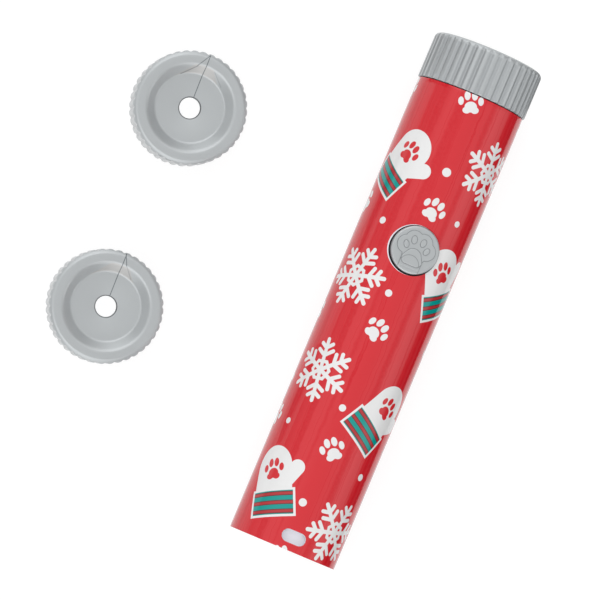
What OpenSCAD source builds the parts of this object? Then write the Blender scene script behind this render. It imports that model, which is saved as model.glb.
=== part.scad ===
// Cat laser pointer with a printed tube, a thumb button and push-on pattern heads.
// The pointer lies on its side with the button up. Two spare heads lie flat beside it.
// Millimetres. +Y is the way the beam leaves, +Z is up from the table.

/* [Tube] */
// Outside diameter of the printed tube
tube_d = 25; // [23:0.5:30]
// Wall of the tube
tube_wall = 1; // [0.6:0.1:1.2]
// Length of the tube
tube_len = 108.5; // [100:0.5:130]
// Chamfer on the tube's two rims
tube_chamfer = 0.2; // [0.1:0.05:0.3]

/* [Strap slot] */
// Length of the strap slot, round the tube
slot_len = 5.6; // [4:0.2:7]
// Width of the strap slot, along the tube
slot_w = 2.9; // [2:0.1:3.5]
// Wall left between the slot and the tail rim
slot_bridge = 1.7; // [1:0.1:2.2]
// Depth of the strap channel under the tube's wall
channel_depth = 1.2; // [1:0.1:4.6]

/* [Button] */
// Diameter of the button
button_d = 10.5; // [9:0.1:11]
// Gap round the button in the tube's hole
button_gap = 0.4; // [0.2:0.05:0.5]
// How far the button sits in front of the board's middle
button_shift = -0.45; // [-2:0.05:2]
// Height of the button's face above the tube
button_rise = 0.3; // [0.2:0.1:1]
// Travel of the button
button_travel = 1; // [0.5:0.1:1.4]
// Height of the paw's pads above the button's face
relief_h = 0.4; // [0.2:0.05:0.5]
// Width of the paw's low plate round its toes
paw_margin = 1.35; // [0.5:0.05:1.35]
// Width of the lip that keeps the button in the tube
flange_lip = 0.7; // [0.6:0.1:1]
// Thickness of that lip
flange_t = 0.8; // [0.6:0.1:1.2]
// Diameter of the stem that presses the switch
stem_d = 3.6; // [3:0.1:4]

/* [Head] */
// How far the head's ribs stand out past the tube
head_proud = 0.3; // [0.1:0.05:0.8]
// Length of the head
head_len = 10.8; // [10:0.1:14]
// Number of grip ribs
rib_count = 40; // [32:4:48]
// Depth of the grooves between the ribs
rib_depth = 0.3; // [0.2:0.05:0.5]
// Radius of the grooves between the ribs
groove_r = 0.4; // [0.35:0.05:0.7]
// Rounding of the head's front edge
head_edge_r = 1.2; // [0.6:0.1:1.6]
// Wall of the head round its socket
head_wall = 1.75; // [1.2:0.05:2]
// Width of the flat rim round the dish
rim_w = 3.05; // [2.6:0.05:3.6]
// Width of the dish's sloping side
dish_slope_w = 1.9; // [1:0.1:2.5]
// Depth of the dish in the head's face
dish_depth = 1.9; // [1:0.1:2.2]
// Thickness of the dish's floor
dish_floor_t = 1.2; // [0.8:0.1:1.6]
// Diameter of the hole that the beam leaves by
aperture_d = 4.7; // [3:0.1:6]
// Gap between the seated head and the tube
head_gap = 0.2; // [0.1:0.05:0.4]

/* [Pattern disc] */
// Diameter of the clear pattern disc
disc_d = 9; // [8:0.1:11]
// Thickness of the pattern disc
disc_t = 0.8; // [0.5:0.1:1]
// Length of the ring that holds the disc
ring_len = 1.2; // [0.8:0.1:1.6]
// Wall of that ring
ring_wall = 1.2; // [0.8:0.1:1.4]
// Wall of the boss round the disc
boss_wall = 1.2; // [0.8:0.1:1.6]

/* [Nose] */
// Length of the collar inside the tube
collar_len = 8; // [6:0.5:10]
// Front wall of the collar
nose_wall = 1.6; // [1:0.1:2]
// Diameter of the beam's hole in the collar
beam_d = 4; // [3:0.1:6]
// Gap between the collar's spigot and the head's socket
spigot_gap = 0.3; // [0.2:0.05:0.5]
// Thickness of the rubber ring that grips the head
o_ring_t = 1.2; // [0.9:0.1:1.5]
// Distance from the head's back face to the rubber ring
o_ring_pos = 2.4; // [1.4:0.1:3]

/* [Laser module] */
// Diameter of the brass barrel
barrel_d = 8; // [7.6:0.1:9]
// Length of the brass barrel
barrel_len = 18; // [17:0.5:20]
// Diameter of the laser diode's flange
diode_d = 5.6; // [5.2:0.1:5.8]
// Diameter of the collimating lens
lens_d = 6; // [5.4:0.1:6.2]
// Thickness of the collimating lens
lens_t = 2.5; // [1.5:0.1:3]
// Length of the nut in front of the lens
nut_len = 2; // [1.5:0.1:3]
// Length of the spring behind the lens
lens_spring_len = 5; // [4.5:0.1:5.5]

/* [Board and switch] */
// Room for the leads between the circuit board and the laser module
lead_room = 6.7; // [6:0.1:8]
// Width of the circuit board
board_w = 12; // [11:0.1:12.2]
// Thickness of the circuit board
board_t = 1.2; // [0.8:0.1:1.6]
// Height of the board's top face above the tube's axis
board_z = -0.5; // [-1.5:0.1:0]
// Side of the square push switch
switch_w = 6; // [5:0.1:6.4]
// Height of the push switch
switch_h = 3.5; // [3.2:0.1:4]
// Diameter of the switch's plunger
plunger_d = 3.2; // [2.6:0.1:3.4]

/* [Chassis] */
// Wall of the two chassis halves
chassis_wall = 1.5; // [1:0.1:1.8]
// Thickness of the wall that carries the contacts
bulkhead_t = 1.6; // [1.2:0.1:2]
// Thickness of the wall that carries the barrel
front_wall_t = 3; // [2:0.5:4]
// Distance from the chassis's side to its screws
boss_inset = 3.1; // [3:0.1:3.2]
// Diameter of the chassis's screw threads
screw_d = 2; // [1.6:0.1:2.2]

/* [Battery] */
// Gap between each cell and the tube's wall
cell_clear = 0.65; // [0.6:0.05:1]
// Length of one cell over its button end
cell_len = 44.5; // [40:0.1:48]
// Gap between the two cells
cell_gap = 0.7; // [0.6:0.1:0.9]
// Length of the springs at the cells' flat ends
cell_spring_len = 3; // [2.8:0.1:3.5]
// Thickness of the contact plates
contact_t = 0.4; // [0.3:0.05:0.6]
// How much narrower than a cell is the opening through which it clips in
clip_bite = 1.5; // [1.1:0.1:1.9]
// Length of the plug that closes the tail
plug_len = 6.8; // [6.4:0.1:9]
// How far the plug sits inside the tail rim
plug_recess = 0.2; // [0.1:0.1:0.6]
// Height of the plug's screws above and below the axis
plug_screw_z = 4.8; // [4.6:0.1:4.9]

/* [Spring wire] */
// Wire of the button's return spring
button_wire_d = 0.4; // [0.3:0.05:0.45]
// Turns of the button's return spring
button_turns = 4.5; // [3:0.5:4.5]
// Wire of the cells' contact springs
cell_wire_d = 0.5; // [0.4:0.05:0.55]
// Turns of the cells' contact springs
cell_turns = 3; // [2:0.5:3]
// Wire of the spring behind the lens
lens_wire_d = 0.4; // [0.3:0.05:0.45]
// Turns of the spring behind the lens
lens_turns = 5; // [3:0.5:5]

/* [Layout] */
// Distance from the tube's axis to the spare heads' row
spare_offset = 56.7; // [40:0.1:80]
// Distance from the tail rim to the first spare head
spare_1_pos = 82.1; // [62:0.1:100]
// Distance from the tail rim to the second spare head
spare_2_pos = 34.2; // [15:0.1:55]

/* [Clearance] */
// Radial clearance of pieces that are pressed or glued together
seat_gap = 0.05; // [0.03:0.01:0.08]
// Radial clearance of pieces that slide or turn
slide_gap = 0.15; // [0.1:0.05:0.2]
// Gap between pieces that meet end to end
end_gap = 0.05; // [0.03:0.01:0.1]
// How much wider than a screw's thread is the hole that it passes through
screw_clear = 0.3; // [0.2:0.05:0.4]
// How much wider than a screw's head is the hole that it sinks into
screw_head_clear = 0.4; // [0.3:0.05:0.5]
// How much deeper than a screw is the hole that it bites in
pilot_clear = 0.5; // [0.3:0.1:1]

/* [Hidden] */
$fn = 64;

// Extra length that carries a cut past the face it starts from
past = 1;

// Tube and head
tube_r = tube_d / 2;
tube_ri = tube_r - tube_wall;
slot_s = slot_bridge + slot_w / 2;
head_r = tube_r + head_proud;
head_s = tube_len + head_gap;
total_len = head_s + head_len;
socket_r = head_r - rib_depth - head_wall;
cavity_len = head_len - dish_depth - dish_floor_t;
boss_len = disc_t + ring_len;
socket_len = cavity_len - boss_len;
dish_top_r = head_r - rim_w;
dish_floor_r = dish_top_r - dish_slope_w;
disc_r = disc_d / 2;
boss_ri = disc_r + seat_gap;
socket_step = 1.3;

// Nose collar: a plug in the tube with a spigot that the head pushes on to
spigot_r = socket_r - spigot_gap;
spigot_clear = 0.3;
spigot_end = head_s + socket_len - spigot_clear;
collar_s = tube_len - collar_len;
barrel_seat = spigot_end - nose_wall;
o_ring_s = head_s + o_ring_pos;
o_ring_r = socket_r - seat_gap - o_ring_t / 2;
o_ring_groove_r = o_ring_r - o_ring_t / 2 - seat_gap;

// Laser module, from the barrel's front end backwards
barrel_r = barrel_d / 2;
barrel_s = barrel_seat - end_gap - barrel_len;
diode_seat = 2;
diode_flange_t = 1.2;
diode_can_d = 3.6;
diode_can_len = 2.4;
diode_lead_d = 0.45;
diode_lead_pitch = 1.27;
diode_bore_d = 4.4;
lens_bore_s = 6;
lens_spring_s = barrel_s + lens_bore_s + end_gap;
lens_s = lens_spring_s + lens_spring_len + end_gap;
nut_s = lens_s + lens_t + end_gap;
nut_bore_d = 3.4;
driver_t = 0.9;
driver_step = 0.25;
driver_d = barrel_d - 2 * driver_step;
driver_s = barrel_s - end_gap - driver_t;

// Battery, from the tail forwards
cell_d = tube_ri - cell_clear - cell_gap / 2;
cell_x = (cell_d + cell_gap) / 2;
clip_w = cell_d - clip_bite;
plug_end = plug_recess + plug_len;
tail_plate_end = plug_end + contact_t;
front_plate_s = tail_plate_end + cell_spring_len + cell_len + 2 * end_gap;
left_cell_s = tail_plate_end + cell_spring_len + end_gap;
right_cell_s = tail_plate_end + end_gap;
button_end_d = 3.8;
button_end_len = 1;
cell_rim_r = 0.6;
plate_margin = 1.25;
plate_w = cell_d - 2 * plate_margin;
sled_r = tube_ri - slide_gap;
sled_short = 0.4;
sled_end = front_plate_s - sled_short;
tail_plate_h = 6;
cell_spring_inset = 2.05;
cell_spring_r = cell_d / 2 - cell_spring_inset;
cell_spring_tip_r = 1.6;

// Chassis, between the front contacts and the collar
chassis_gap = 0.2;
chassis_r = tube_ri - chassis_gap;
chassis_s = front_plate_s + contact_t;
chassis_end = collar_s - end_gap;
split_z = board_z - board_t;
board_gap = 0.3;
board_s = chassis_s + bulkhead_t + board_gap;
board_end = driver_s - lead_room;
board_len = board_end - board_s;
boss_x = chassis_r - boss_inset;
boss_r = 2;
boss_back = 3;
boss_front = 2.5;
boss_s = [chassis_s + bulkhead_t + boss_back, chassis_end - front_wall_t - boss_front];
boss_h = 6;
screw_seat = 1.9;
screw_head_d = 3.4;
screw_head_h = 1.3;
screw_len = 6.4;
tab_x = 4.5;
tab_w = 2;
rail_t = 1.2;

// Button and switch, from the board upwards
button_pos = board_s + board_len / 2 + button_shift;
button_r = button_d / 2;
button_hole_r = button_r + button_gap;
flange_r = button_r + flange_lip;
flange_top = sqrt(tube_ri * tube_ri - flange_r * flange_r) - slide_gap;
flange_z = flange_top - flange_t;
button_top = tube_r + button_rise;
switch_top = board_z + switch_h;
switch_floor_t = 0.5;
plunger_over = 0.5;
plunger_under = 0.2;
plunger_top = switch_top + button_travel + plunger_over;
plunger_z = board_z + switch_floor_t + button_travel + plunger_under;
well_r = flange_r + slide_gap;
well_wall = 1.1;
well_over = 0.4;
well_floor_z = switch_top + well_over;
well_floor_t = 1;
well_top = well_floor_z + well_floor_t;
button_spring_r = 3.6;

// The box round the pointer and the spare heads is centred on the origin
axis_x = spare_offset / 2;
tail_y = -total_len / 2;
axis_z = head_r;

// Puts a piece drawn on the tube's axis, with its tail rim at Y = 0, in the part's frame
module on_pointer() {
    translate([axis_x, tail_y, axis_z]) children();
}

// Turns a shape drawn along +Z so that it runs along the tube from a distance s
module along(s) {
    translate([0, s, 0]) rotate([-90, 0, 0]) children();
}

// Puts a piece of a head on the nose, or on the table at a distance s beside the tube
module on_nose() {
    on_pointer() along(head_s) children();
}

module on_table(s) {
    translate([axis_x - spare_offset, tail_y + s, 0]) children();
}

// A straight rod or ring along +Z
module ring(outer_r, inner_r, h) {
    difference() {
        cylinder(r = outer_r, h = h);
        translate([0, 0, -past]) cylinder(r = inner_r, h = h + 2 * past);
    }
}

// Wire and cord sweep: rings of points square to the route, closed at both ends
function unit(v) = v / norm(v);

function wire_ring(p, tangent, side, r, sides) =
    let (t = unit(tangent), b = cross(t, side))
    [for (k = [0 : sides - 1]) p + r * (cos(360 * k / sides) * side + sin(360 * k / sides) * b)];

module wire(rings) {
    n = len(rings);
    m = len(rings[0]);
    points = [for (one = rings) each one];
    walls = [
        for (i = [0 : n - 2], k = [0 : m - 1])
            let (a = i * m + k, b = i * m + (k + 1) % m, c = a + m, d = b + m)
            each [[a, b, c], [b, d, c]]
    ];
    first = [for (k = [1 : m - 2]) [0, k + 1, k]];
    end = (n - 1) * m;
    last = [for (k = [1 : m - 2]) [end, end + k, end + k + 1]];
    polyhedron(points = points, faces = concat(walls, first, last));
}

// A coil along +Z between two heights, from one radius to another
coil_steps = 8;
coil_sides = 6;

function coil_at(u, turns, r0, r1, z0, z1) =
    let (a = 360 * turns * u, r = r0 + (r1 - r0) * u)
    [r * cos(a), r * sin(a), z0 + (z1 - z0) * u];

function coil_side(u, turns) = [cos(360 * turns * u), sin(360 * turns * u), 0];

function coil_points(turns, r0, r1, z0, z1) =
    let (n = ceil(turns * coil_steps))
    [for (i = [0 : n]) coil_at(i / n, turns, r0, r1, z0, z1)];

// Least gap between one turn of a coil and the next, measured on its points
function coil_gap(points, wire_d) =
    min([
        for (i = [0 : len(points) - 1 - coil_steps], j = [i + coil_steps - 2 : len(points) - 1])
            norm(points[i] - points[j])
    ]) - wire_d;

module coil(turns, r0, r1, len, wire_d) {
    z0 = wire_d / 2;
    z1 = len - wire_d / 2;
    n = ceil(turns * coil_steps);
    step = 0.001;
    wire([
        for (i = [0 : n])
            let (
                u = i / n,
                p = coil_at(u, turns, r0, r1, z0, z1),
                q = coil_at(u + step, turns, r0, r1, z0, z1),
                o = coil_at(u - step, turns, r0, r1, z0, z1)
            )
            wire_ring(p, q - o, coil_side(u, turns), wire_d / 2, coil_sides)
    ]);
    echo(least_gap_mm = coil_gap(coil_points(turns, r0, r1, z0, z1), wire_d));
}

// A point on a cubic curve and the way it runs there
function curve_at(p, u) =
    pow(1 - u, 3) * p[0] + 3 * pow(1 - u, 2) * u * p[1] + 3 * (1 - u) * u * u * p[2] + pow(u, 3) * p[3];

function curve_run(p, u) =
    pow(1 - u, 2) * (p[1] - p[0]) + 2 * (1 - u) * u * (p[2] - p[1]) + u * u * (p[3] - p[2]);

// Tube: a drawn tube with a round button hole and a strap slot, chamfered at both rims
module body_tube() {
    color("crimson") on_pointer() difference() {
        along(0) rotate_extrude() polygon([
            [tube_ri, 0],
            [tube_r - tube_chamfer, 0],
            [tube_r, tube_chamfer],
            [tube_r, tube_len - tube_chamfer],
            [tube_r - tube_chamfer, tube_len],
            [tube_ri, tube_len]
        ]);
        translate([0, button_pos, 0]) cylinder(r = button_hole_r, h = tube_d);
        translate([0, slot_s, 0]) strap_slot();
    }
}

module strap_slot() {
    end_x = (slot_len - slot_w) / 2;
    for (x = [-end_x, end_x]) translate([x, 0, 0]) cylinder(d = slot_w, h = tube_d);
    translate([-end_x, -slot_w / 2, 0]) cube([2 * end_x, slot_w, tube_d]);
}

// Nose collar: carries the barrel's front end and the rubber ring
module nose_collar() {
    groove_w = o_ring_t + 2 * seat_gap;
    color("dimgray") on_pointer() along(0) difference() {
        union() {
            translate([0, 0, collar_s]) cylinder(r = tube_ri - seat_gap, h = collar_len);
            translate([0, 0, tube_len - past]) cylinder(r = spigot_r, h = spigot_end - tube_len + past);
        }
        translate([0, 0, collar_s - past])
            cylinder(r = barrel_r + seat_gap, h = barrel_seat - collar_s + past);
        cylinder(d = beam_d, h = spigot_end + past);
        translate([0, 0, o_ring_s - groove_w / 2]) ring(tube_r, o_ring_groove_r, groove_w);
    }
}

// Rubber ring that turns in its groove with the head and grips the head's socket
module nose_o_ring() {
    color("black") on_pointer() along(o_ring_s)
        rotate_extrude() translate([o_ring_r, 0]) circle(d = o_ring_t);
}

// Head: ribbed cup with a dished face, a socket for the spigot and a boss for the pattern disc
module head_profile() {
    difference() {
        union() {
            square([head_r, head_len - head_edge_r]);
            square([head_r - head_edge_r, head_len]);
            translate([head_r - head_edge_r, head_len - head_edge_r]) circle(r = head_edge_r);
        }
        polygon([
            [0, head_len - dish_depth],
            [dish_floor_r, head_len - dish_depth],
            [dish_top_r, head_len],
            [dish_top_r, head_len + past],
            [0, head_len + past]
        ]);
        translate([0, -past]) square([socket_r, socket_len + past]);
        square([socket_r - socket_step, cavity_len]);
        square([aperture_d / 2, head_len]);
    }
    translate([boss_ri, cavity_len - boss_len]) square([boss_wall, boss_len + dish_floor_t / 2]);
}

module head_shell_shape() {
    color("silver") difference() {
        rotate_extrude() head_profile();
        for (i = [0 : rib_count - 1])
            rotate([0, 0, (i + 0.5) * 360 / rib_count])
                translate([head_r - rib_depth + groove_r, 0, -past])
                    cylinder(r = groove_r, h = head_len + 2 * past);
    }
}

module pattern_disc_shape() {
    color("aliceblue", 0.4) translate([0, 0, cavity_len - disc_t]) cylinder(r = disc_r, h = disc_t - end_gap);
}

module disc_ring_shape() {
    color("gray") translate([0, 0, cavity_len - boss_len])
        ring(disc_r, disc_r - ring_wall, ring_len - end_gap);
}

module head_shell() { on_nose() head_shell_shape(); }
module head_pattern_disc() { on_nose() pattern_disc_shape(); }
module head_disc_ring() { on_nose() disc_ring_shape(); }
module spare_head_1_shell() { on_table(spare_1_pos) head_shell_shape(); }
module spare_head_1_pattern_disc() { on_table(spare_1_pos) pattern_disc_shape(); }
module spare_head_1_disc_ring() { on_table(spare_1_pos) disc_ring_shape(); }
module spare_head_2_shell() { on_table(spare_2_pos) head_shell_shape(); }
module spare_head_2_pattern_disc() { on_table(spare_2_pos) pattern_disc_shape(); }
module spare_head_2_disc_ring() { on_table(spare_2_pos) disc_ring_shape(); }

// Puts a piece on the button's own axis, square to the tube
module on_button() {
    on_pointer() translate([0, button_pos, 0]) children();
}

// Button: a round cap with a keeping lip, a stem and a raised paw on its face
module button_cap() {
    edge_r = 0.4;
    color("silver") on_button() {
        rotate_extrude() {
            translate([0, flange_z]) square([button_r, button_top - edge_r - flange_z]);
            translate([0, flange_z]) square([button_r - edge_r, button_top - flange_z]);
            translate([button_r - edge_r, button_top - edge_r]) intersection() {
                circle(r = edge_r);
                square(edge_r);
            }
            translate([0, flange_z]) square([flange_r, flange_t]);
            translate([0, plunger_top + end_gap]) square([stem_d / 2, flange_z - plunger_top]);
        }
        translate([0, 0, button_top - relief_h]) {
            linear_extrude(1.5 * relief_h) paw_plate();
            linear_extrude(2 * relief_h) paw_pads();
        }
    }
}

// The paw is drawn for a face 10 mm across: the place and the radius of each toe and of each lobe of its pad
paw_unit = button_d / 10;
paw_toes = [[-2.3, 0.5, 0.65], [-1.03, 1.9, 0.7], [1.03, 1.9, 0.7], [2.3, 0.5, 0.65]];
paw_pad = [[-1.15, -2.3, 1.15], [1.15, -2.3, 1.15], [0, -1.6, 1.8]];

module paw_circles(circles, margin) {
    for (c = circles) translate(paw_unit * [c[0], c[1]]) circle(r = paw_unit * c[2] + margin);
}

module paw_pads() {
    hull() paw_circles(paw_pad, 0);
    paw_circles(paw_toes, 0);
}

// Low plate under the pads: the toes' lobes on a palm and a straight wrist
module paw_plate() {
    wrist = [4.6, 3.6];
    wrist_low = -4.05;
    paw_circles(paw_toes, paw_margin);
    paw_circles([[0, -0.7, 2.6]], 0);
    translate(paw_unit * [-wrist[0] / 2, wrist_low]) square(paw_unit * wrist);
}

module switch_plunger() {
    color("black") on_button() translate([0, 0, plunger_z])
        cylinder(d = plunger_d, h = plunger_top - plunger_z);
}

// Return spring of the button, round its stem on the floor of its well
module button_spring() {
    color("silver") on_button() translate([0, 0, well_top + end_gap])
        coil(button_turns, button_spring_r, button_spring_r, flange_z - well_top - 2 * end_gap, button_wire_d);
}

module switch_body() {
    leg_len = 1.4;
    leg_w = 0.7;
    leg_t = 0.3;
    color("darkslategray") on_button() difference() {
        union() {
            translate([-switch_w / 2, -switch_w / 2, board_z]) cube([switch_w, switch_w, switch_h]);
            for (x = [-1, 1], y = [-1, 1])
                translate([x * switch_w / 2, y * switch_w / 3, board_z + leg_t / 2])
                    cube([leg_len, leg_w, leg_t], center = true);
        }
        translate([0, 0, board_z + switch_floor_t])
            cylinder(r = plunger_d / 2 + seat_gap, h = switch_h);
    }
}

// Circuit board on the lower chassis's rails, with its parts behind and before the switch
module circuit_board() {
    color("seagreen") on_pointer() translate([-board_w / 2, board_s, split_z])
        cube([board_w, board_len, board_t]);
}

// A chip and two resistors, each as long as a third of the bare board at its end
module board_components() {
    chip_w = 4.6;
    chip_h = 1.4;
    resistor_w = 1.6;
    resistor_h = 0.6;
    resistor_x = 4;
    chip_len = (button_pos - switch_w / 2 - board_s) / 3;
    resistor_len = (board_end - button_pos - switch_w / 2) / 3;
    color("black") on_pointer() {
        translate([-chip_w / 2, board_s + chip_len, board_z]) cube([chip_w, chip_len, chip_h]);
        for (x = [-resistor_x, resistor_x])
            translate([x - resistor_w / 2, board_end - 2 * resistor_len, board_z])
                cube([resistor_w, resistor_len, resistor_h]);
    }
}

// Chassis: two half shells round the board, joined by four screws from below
module chassis_outline() {
    along(chassis_s) cylinder(r = chassis_r, h = chassis_end - chassis_s);
}

module chassis_walls() {
    along(chassis_s) ring(chassis_r, chassis_r - chassis_wall, chassis_end - chassis_s);
    along(chassis_s) cylinder(r = chassis_r, h = bulkhead_t);
    along(chassis_end - front_wall_t) cylinder(r = chassis_r, h = front_wall_t);
}

module at_screws() {
    for (x = [-boss_x, boss_x], s = boss_s) translate([x, s, split_z]) children();
}

module barrel_way() {
    along(chassis_end - front_wall_t - past) cylinder(r = barrel_r + seat_gap, h = front_wall_t + 2 * past);
}

// Passage for the two contact tabs that lie on the board
module tab_ways() {
    for (x = [-tab_x, tab_x])
        translate([x - tab_w / 2 - slide_gap, chassis_s - past, split_z - slide_gap])
            cube([tab_w + 2 * slide_gap, bulkhead_t + 2 * past, board_t + contact_t + 2 * slide_gap]);
}

module chassis_lower() {
    color("gainsboro") on_pointer() difference() {
        intersection() {
            chassis_outline();
            translate([-tube_r, 0, -tube_r]) cube([tube_d, total_len, tube_r + split_z]);
            union() {
                chassis_walls();
                at_screws() translate([0, 0, -boss_h]) cylinder(r = boss_r, h = boss_h);
                for (x = [-board_w / 2, board_w / 2 - rail_t])
                    translate([x, board_s, -tube_r]) cube([rail_t, board_len, tube_r]);
            }
        }
        barrel_way();
        at_screws() {
            translate([0, 0, -boss_h]) cylinder(d = screw_d + screw_clear, h = boss_h + past);
            translate([0, 0, -screw_seat - tube_r]) cylinder(d = screw_head_d + screw_head_clear, h = tube_r);
        }
    }
}

module chassis_upper() {
    pilot_len = screw_len - screw_seat + pilot_clear;
    color("gainsboro") on_pointer() difference() {
        intersection() {
            chassis_outline();
            translate([-tube_r, 0, split_z]) cube([tube_d, total_len, tube_d]);
            union() {
                chassis_walls();
                at_screws() cylinder(r = boss_r, h = boss_h);
                translate([0, button_pos, well_floor_z]) cylinder(r = well_r + well_wall, h = tube_r);
            }
        }
        barrel_way();
        tab_ways();
        at_screws() translate([0, 0, -past]) cylinder(r = screw_d / 2 + seat_gap, h = pilot_len + past);
        translate([0, button_pos, well_top]) cylinder(r = well_r, h = tube_r);
        translate([0, button_pos, 0]) cylinder(r = stem_d / 2 + 2 * slide_gap, h = tube_r);
    }
}

// A pan-head screw whose thread runs along +Z from under its head
module screw(thread_d, head_d, head_h, length) {
    cross_len = 0.6 * head_d;
    cross_w = 0.5;
    cross_depth = 0.6;
    difference() {
        union() {
            translate([0, 0, -head_h]) cylinder(d = head_d, h = head_h);
            cylinder(d = thread_d, h = length);
        }
        for (a = [0, 90])
            rotate([0, 0, a]) translate([0, 0, -head_h])
                cube([cross_len, cross_w, 2 * cross_depth], center = true);
    }
}

module chassis_screws() {
    color("silver") on_pointer() at_screws() translate([0, 0, -screw_seat])
        screw(screw_d, screw_head_d, screw_head_h, screw_len);
}

// Laser module: a brass barrel with the diode in its back and the lens behind a nut in its front
module laser_barrel() {
    color("goldenrod") on_pointer() along(barrel_s) difference() {
        cylinder(r = barrel_r, h = barrel_len);
        translate([0, 0, -past]) cylinder(r = diode_d / 2 + seat_gap, h = diode_seat + past);
        cylinder(d = diode_bore_d, h = lens_bore_s + past);
        translate([0, 0, lens_bore_s]) cylinder(r = lens_d / 2 + seat_gap, h = barrel_len);
    }
}

module laser_diode() {
    flange_s = diode_seat - diode_flange_t - end_gap;
    color("gold") on_pointer() along(barrel_s) {
        translate([0, 0, flange_s]) cylinder(d = diode_d, h = diode_flange_t);
        translate([0, 0, flange_s]) cylinder(d = diode_can_d, h = diode_flange_t + diode_can_len);
        for (a = [0, 120, 240])
            rotate([0, 0, a]) translate([diode_lead_pitch, 0, -end_gap])
                cylinder(d = diode_lead_d, h = flange_s + 2 * end_gap);
    }
}

module lens_spring() {
    color("silver") on_pointer() along(lens_spring_s) {
        r = lens_d / 2 - lens_wire_d / 2 - seat_gap;
        coil(lens_turns, r, r, lens_spring_len, lens_wire_d);
    }
}

// Collimating lens: flat at the back, with a spherical front inside a square shoulder
module collimator_lens() {
    crown_h = lens_t * 0.3;
    chord_r = lens_d * 0.4;
    crown_r = (chord_r * chord_r + crown_h * crown_h) / (2 * crown_h);
    color("lightcyan", 0.5) on_pointer() along(lens_s) {
        cylinder(d = lens_d, h = lens_t - crown_h);
        intersection() {
            cylinder(r = chord_r, h = lens_t);
            translate([0, 0, lens_t - crown_r]) sphere(r = crown_r);
        }
    }
}

module lens_nut() {
    slit_w = 0.8;
    slit_depth = 0.7;
    color("goldenrod") on_pointer() along(nut_s) difference() {
        ring(lens_d / 2, nut_bore_d / 2, nut_len);
        translate([0, 0, nut_len]) cube([2 * lens_d, slit_w, 2 * slit_depth], center = true);
    }
}

module driver_board() {
    color("seagreen") on_pointer() along(driver_s) cylinder(d = driver_d, h = driver_t);
}

// Leads from the board to the driver board, up out of the one and square into the other
module lead(x) {
    lead_d = 1;
    lead_sides = 8;
    lead_steps = 14;
    pad_back = 1.6;
    end_z = 1.2;
    pull = 3;
    route = [
        [x, board_end - pad_back, board_z],
        [x, board_end - pad_back, board_z + pull],
        [x, driver_s - pull, end_z],
        [x, driver_s, end_z]
    ];
    on_pointer() wire([
        for (i = [0 : lead_steps])
            let (u = i / lead_steps)
            wire_ring(curve_at(route, u), curve_run(route, u), [1, 0, 0], lead_d / 2, lead_sides)
    ]);
}

lead_x = 1.6;

module lead_red() { color("red") lead(lead_x); }
module lead_black() { color("black") lead(-lead_x); }

// Contacts of the chassis: plates on its back wall, each with a tab on to the board
module front_contact(side) {
    tab_on_board = 3;
    on_pointer() {
        translate([side * cell_x - plate_w / 2, front_plate_s, -plate_w / 2])
            cube([plate_w, contact_t, plate_w]);
        translate([side * tab_x - tab_w / 2, front_plate_s, board_z])
            cube([tab_w, board_s + tab_on_board - front_plate_s, contact_t]);
    }
}

module front_positive_contact() { color("silver") front_contact(-1); }
module front_negative_contact() { color("silver") front_contact(1); }

// A tapering contact spring that stands on a plate along +Z
module contact_spring() {
    coil(cell_turns, cell_spring_r, cell_spring_tip_r, cell_spring_len, cell_wire_d);
}

module front_contact_spring() {
    color("silver") on_pointer() translate([cell_x, front_plate_s, 0]) rotate([90, 0, 0]) contact_spring();
}

module tail_contact_spring() {
    color("silver") on_pointer() translate([-cell_x, tail_plate_end, 0]) rotate([-90, 0, 0]) contact_spring();
}

// Plate that joins the two cells at the tail
module tail_contact_plate() {
    color("silver") on_pointer() along(plug_end) linear_extrude(contact_t) {
        for (x = [-cell_x, cell_x]) translate([x, 0]) circle(d = tail_plate_h);
        square([2 * cell_x, tail_plate_h], center = true);
    }
}

// Sled: one moulding with a bed for each cell, open at both sides so that the cells clip in
module battery_sled() {
    bed_r = cell_d / 2 + slide_gap;
    clip_x = cell_x + sqrt(bed_r * bed_r - clip_w * clip_w / 4);
    color("gainsboro") on_pointer() difference() {
        intersection() {
            along(plug_end) cylinder(r = sled_r, h = sled_end - plug_end);
            translate([-clip_x, 0, -tube_r]) cube([2 * clip_x, total_len, tube_d]);
        }
        for (x = [-cell_x, cell_x]) translate([x, 0, 0]) along(0) cylinder(r = bed_r, h = total_len);
        translate([-tube_r, plug_end - past, -tail_plate_h / 2 - slide_gap])
            cube([tube_d, contact_t + past + end_gap, tail_plate_h + 2 * slide_gap]);
        at_plug_screws() cylinder(r = screw_d / 2 + seat_gap, h = plug_screw_len + pilot_clear);
    }
}

plug_screw_len = 12;
plug_screw_seat = 2.2;

module at_plug_screws() {
    for (z = [-plug_screw_z, plug_screw_z]) translate([0, 0, z]) along(plug_screw_seat) children();
}

// Tail plug: closes the tube, with a channel from the strap slot out to the tail
module tail_plug() {
    channel_side = 0.4;
    channel_front = 0.5;
    channel_w = slot_len + 2 * channel_side;
    channel_end = slot_bridge + slot_w + channel_front;
    color("whitesmoke") on_pointer() difference() {
        along(plug_recess) cylinder(r = tube_ri - seat_gap, h = plug_len);
        translate([-channel_w / 2, -past, tube_ri - channel_depth])
            cube([channel_w, channel_end + past, tube_r]);
        at_plug_screws() {
            translate([0, 0, -past]) cylinder(d = screw_d + screw_clear, h = plug_len + past);
            translate([0, 0, -plug_screw_seat - past])
                cylinder(d = screw_head_d + screw_head_clear, h = plug_screw_seat + past);
        }
    }
}

module tail_plug_screws() {
    color("silver") on_pointer() at_plug_screws()
        screw(screw_d, screw_head_d, screw_head_h, plug_screw_len);
}

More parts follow.
